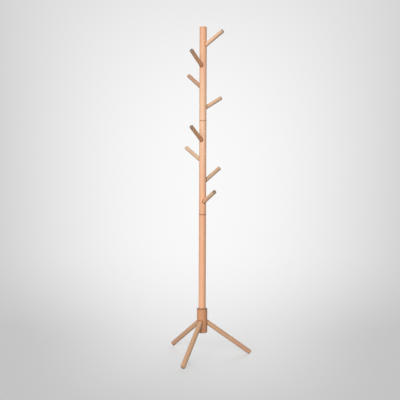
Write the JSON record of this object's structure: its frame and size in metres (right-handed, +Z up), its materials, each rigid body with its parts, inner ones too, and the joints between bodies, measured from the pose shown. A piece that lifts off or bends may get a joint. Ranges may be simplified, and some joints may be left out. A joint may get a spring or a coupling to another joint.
{
  "type": "standing coat rack",
  "caption": "Standing coat rack: a round wooden pole in screwed sections, with straight pegs that climb it in a spiral and a hub with splayed legs on small foot pads.",
  "frame": {"origin": "on the floor, straight below the pole axis, in the middle of the tripod", "axes": "+Z up along the pole; seen from the front (looking along +Y), +X is to the right; the right leg points 8.5 degrees from +X towards +Y"},
  "size_m": [0.4433, 0.4695, 1.7501],
  "materials": {
    "pole_wood": "clear satin lacquer on pale beech, grain along the pole",
    "peg_wood": "clear satin lacquer on beech dowel, darker end grain",
    "base_wood": "clear satin lacquer on beech, darker end grain",
    "foot_rubber": "matt dark grey, self-adhesive",
    "zinc_steel": "zinc plated",
    "insert_brass": "turned"
  },
  "bodies": {
    "root": {"upper_pole_section": "pole_wood", "middle_pole_section": "pole_wood", "lower_pole_section": "pole_wood", "peg_1": "peg_wood", "peg_2": "peg_wood", "peg_3": "peg_wood", "peg_4": "peg_wood", "peg_5": "peg_wood", "peg_6": "peg_wood", "peg_7": "peg_wood", "peg_8": "peg_wood", "hub": "base_wood", "left_rear_leg": "base_wood", "front_leg": "base_wood", "right_leg": "base_wood", "foot_pads": "foot_rubber", "peg_bolts": "zinc_steel", "peg_inserts": "insert_brass", "section_studs": "zinc_steel", "section_inserts": "insert_brass", "leg_bolts": "zinc_steel", "leg_inserts": "insert_brass"}
  },
  "joints": []
}
